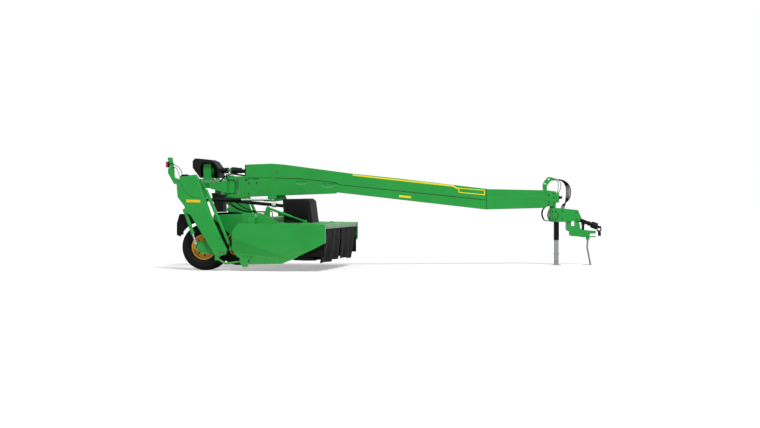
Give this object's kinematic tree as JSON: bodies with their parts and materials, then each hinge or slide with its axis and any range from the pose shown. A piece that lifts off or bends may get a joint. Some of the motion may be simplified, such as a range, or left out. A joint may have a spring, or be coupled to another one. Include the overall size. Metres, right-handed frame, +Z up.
{
  "type": "disc mower conditioner",
  "caption": "Towed centre-pivot disc mower conditioner with a swinging tongue, arched carrier on two wheels, finger conditioner and hinged front covers.",
  "frame": {"origin": "middle of the bounding box's bottom, on the ground", "axes": "+X the way the machine travels, +Y its left side, +Z up"},
  "size_m": [7.63, 4.0138, 2.0601],
  "materials": {
    "green_paint": "semi-gloss green enamel",
    "black_paint": "satin black paint",
    "dark_steel": "dark grey rim paint",
    "bare_steel": "worn bright steel",
    "zinc": "dull zinc",
    "chrome_rod": "polished",
    "cast": "painted casting",
    "tyre": "matt rubber",
    "rubber": "matt rubber sheet",
    "guard_plastic": "moulded black",
    "lamp": "red lens"
  },
  "bodies": {
    "carrier": {"main_beam": "green_paint", "legs": "green_paint", "lamp_brackets": "green_paint", "tail_lamps": "lamp", "upper_gearbox": "cast", "upper_guard": "black_paint", "lower_gearbox": "cast", "lower_guard": "black_paint", "lower_shaft": "guard_plastic", "mudguards": "black_paint", "float_struts": "black_paint", "lower_links": "black_paint", "header_sides": "green_paint", "header_deck": "green_paint", "rear_hood": "green_paint", "header_frame": "green_paint", "bell_guard": "black_paint", "header_gearbox": "cast", "cutterbar": "green_paint", "end_flaps": "rubber"},
    "rotor": {"conditioner_rotor": "bare_steel"},
    "tongue": {"tongue_fork": "green_paint", "tongue_beam": "green_paint", "tongue_channel": "green_paint", "upper_shaft": "guard_plastic", "hose_bracket": "green_paint", "hitch_hoses": "rubber"},
    "hitch": {"hitch_head": "cast", "drawbar": "green_paint", "pto_shaft": "guard_plastic", "pto_joint": "bare_steel", "pto_rest": "green_paint", "jack_tube": "zinc"},
    "jack_leg": {"jack_leg": "zinc"},
    "parking_stand": {"parking_stand": "zinc"},
    "swing_barrel": {"swing_barrel": "black_paint"},
    "swing_rod": {"swing_rod": "chrome_rod"},
    "wheel_arm_right": {"wheel_arm_right": "green_paint"},
    "wheel_right": {"tyre_right": "tyre", "rim_right": "dark_steel"},
    "lift_barrel_right": {"lift_barrel_right": "black_paint"},
    "lift_rod_right": {"lift_rod_right": "chrome_rod"},
    "front_cover_right": {"front_cover_right": "green_paint", "curtain_right": "rubber"},
    "wheel_arm_left": {"wheel_arm_left": "green_paint"},
    "wheel_left": {"tyre_left": "tyre", "rim_left": "dark_steel"},
    "lift_barrel_left": {"lift_barrel_left": "black_paint"},
    "lift_rod_left": {"lift_rod_left": "chrome_rod"},
    "front_cover_left": {"front_cover_left": "green_paint", "curtain_left": "rubber"},
    "disc_1": {"disc_1": "bare_steel"},
    "disc_2": {"disc_2": "bare_steel"},
    "disc_3": {"disc_3": "bare_steel"},
    "disc_4": {"disc_4": "bare_steel"},
    "disc_5": {"disc_5": "bare_steel"},
    "disc_6": {"disc_6": "bare_steel"},
    "disc_7": {"disc_7": "bare_steel"}
  },
  "joints": [
    {"name": "tongue_swing", "type": "hinge", "parent": "carrier", "child": "tongue", "pos_m": [-3.01298, -0.50691, 1.5], "axis": [0, 0, 1], "range_deg": [-48, 8]},
    {"name": "swing_barrel_turn", "type": "hinge", "parent": "carrier", "child": "swing_barrel", "pos_m": [-3.31298, -1.0569, 1.279], "axis": [0, 0, 1], "range_deg": [-30, 6]},
    {"name": "swing_rod_slide", "type": "slide", "parent": "swing_barrel", "child": "swing_rod", "axis": [0.8527, 0.5224, 0], "range_m": [-0.36, 0.06]},
    {"name": "hitch_swivel", "type": "hinge", "parent": "tongue", "child": "hitch", "pos_m": [2.87889, 1.63756, 1], "axis": [0, 0, 1], "range_deg": [-60, 60]},
    {"name": "jack_slide", "type": "slide", "parent": "hitch", "child": "jack_leg", "axis": [0, 0, 1], "range_m": [0, 0.25]},
    {"name": "stand_fold", "type": "hinge", "parent": "hitch", "child": "parking_stand", "pos_m": [3.54607, 1.8804, 0.512], "axis": [-0.342, 0.9397, 0], "range_deg": [0, 85]},
    {"name": "lift_right", "type": "hinge", "parent": "carrier", "child": "wheel_arm_right", "pos_m": [-2.79298, -1.8794, 0.342], "axis": [0, -1, 0], "range_deg": [0, 32]},
    {"name": "wheel_spin_right", "type": "hinge", "parent": "wheel_arm_right", "child": "wheel_right", "pos_m": [-3.15798, -1.63691, 0.425], "axis": [0, 1, 0], "continuous": true},
    {"name": "lift_barrel_turn_right", "type": "hinge", "parent": "carrier", "child": "lift_barrel_right", "pos_m": [-3.46298, -1.9569, 1.08], "axis": [0, -1, 0], "range_deg": [-9, 1]},
    {"name": "lift_rod_slide_right", "type": "slide", "parent": "lift_barrel_right", "child": "lift_rod_right", "axis": [0.3328, 0, -0.943], "range_m": [0, 0.262]},
    {"name": "lift_left", "type": "hinge", "parent": "carrier", "child": "wheel_arm_left", "pos_m": [-2.79298, 0.8656, 0.342], "axis": [0, -1, 0], "range_deg": [0, 32]},
    {"name": "wheel_spin_left", "type": "hinge", "parent": "wheel_arm_left", "child": "wheel_left", "pos_m": [-3.15798, 0.62309, 0.425], "axis": [0, 1, 0], "continuous": true},
    {"name": "lift_barrel_turn_left", "type": "hinge", "parent": "carrier", "child": "lift_barrel_left", "pos_m": [-3.46298, 0.9431, 1.08], "axis": [0, -1, 0], "range_deg": [-9, 1]},
    {"name": "lift_rod_slide_left", "type": "slide", "parent": "lift_barrel_left", "child": "lift_rod_left", "axis": [0.3328, 0, -0.943], "range_m": [0, 0.262]},
    {"name": "cover_right", "type": "hinge", "parent": "carrier", "child": "front_cover_right", "pos_m": [-1.33798, -1.2269, 0.846], "axis": [0, -1, 0], "range_deg": [0, 85]},
    {"name": "cover_left", "type": "hinge", "parent": "carrier", "child": "front_cover_left", "pos_m": [-1.33798, 0.2131, 0.846], "axis": [0, -1, 0], "range_deg": [0, 85]},
    {"name": "rotor_spin", "type": "hinge", "parent": "carrier", "child": "rotor", "pos_m": [-1.96298, -0.50691, 0.5], "axis": [0, 1, 0], "continuous": true},
    {"name": "disc_spin_1", "type": "hinge", "parent": "carrier", "child": "disc_1", "pos_m": [-1.24298, -1.67691, 0.28], "axis": [0, 0, 1], "continuous": true},
    {"name": "disc_spin_2", "type": "hinge", "parent": "carrier", "child": "disc_2", "pos_m": [-1.24298, -1.2869, 0.28], "axis": [0, 0, 1], "continuous": true},
    {"name": "disc_spin_3", "type": "hinge", "parent": "carrier", "child": "disc_3", "pos_m": [-1.24298, -0.8969, 0.28], "axis": [0, 0, 1], "continuous": true},
    {"name": "disc_spin_4", "type": "hinge", "parent": "carrier", "child": "disc_4", "pos_m": [-1.24298, -0.50691, 0.28], "axis": [0, 0, 1], "continuous": true},
    {"name": "disc_spin_5", "type": "hinge", "parent": "carrier", "child": "disc_5", "pos_m": [-1.24298, -0.1169, 0.28], "axis": [0, 0, 1], "continuous": true},
    {"name": "disc_spin_6", "type": "hinge", "parent": "carrier", "child": "disc_6", "pos_m": [-1.24298, 0.27309, 0.28], "axis": [0, 0, 1], "continuous": true},
    {"name": "disc_spin_7", "type": "hinge", "parent": "carrier", "child": "disc_7", "pos_m": [-1.24298, 0.66309, 0.28], "axis": [0, 0, 1], "continuous": true}
  ],
  "couplings": [
    {"joint": "swing_barrel_turn", "follows": "tongue_swing", "ratio": 0.595},
    {"joint": "swing_rod_slide", "follows": "tongue_swing", "m_per_rad": 0.412},
    {"joint": "lift_barrel_turn_right", "follows": "lift_right", "ratio": -0.25},
    {"joint": "lift_rod_slide_right", "follows": "lift_right", "m_per_rad": 0.448},
    {"joint": "lift_barrel_turn_left", "follows": "lift_right", "ratio": -0.25},
    {"joint": "lift_rod_slide_left", "follows": "lift_right", "m_per_rad": 0.448},
    {"joint": "lift_left", "follows": "lift_right", "ratio": 1},
    {"joint": "disc_spin_1", "follows": "rotor_spin", "ratio": 3},
    {"joint": "disc_spin_2", "follows": "rotor_spin", "ratio": -3},
    {"joint": "disc_spin_3", "follows": "rotor_spin", "ratio": 3},
    {"joint": "disc_spin_4", "follows": "rotor_spin", "ratio": -3},
    {"joint": "disc_spin_5", "follows": "rotor_spin", "ratio": 3},
    {"joint": "disc_spin_6", "follows": "rotor_spin", "ratio": -3},
    {"joint": "disc_spin_7", "follows": "rotor_spin", "ratio": 3}
  ]
}
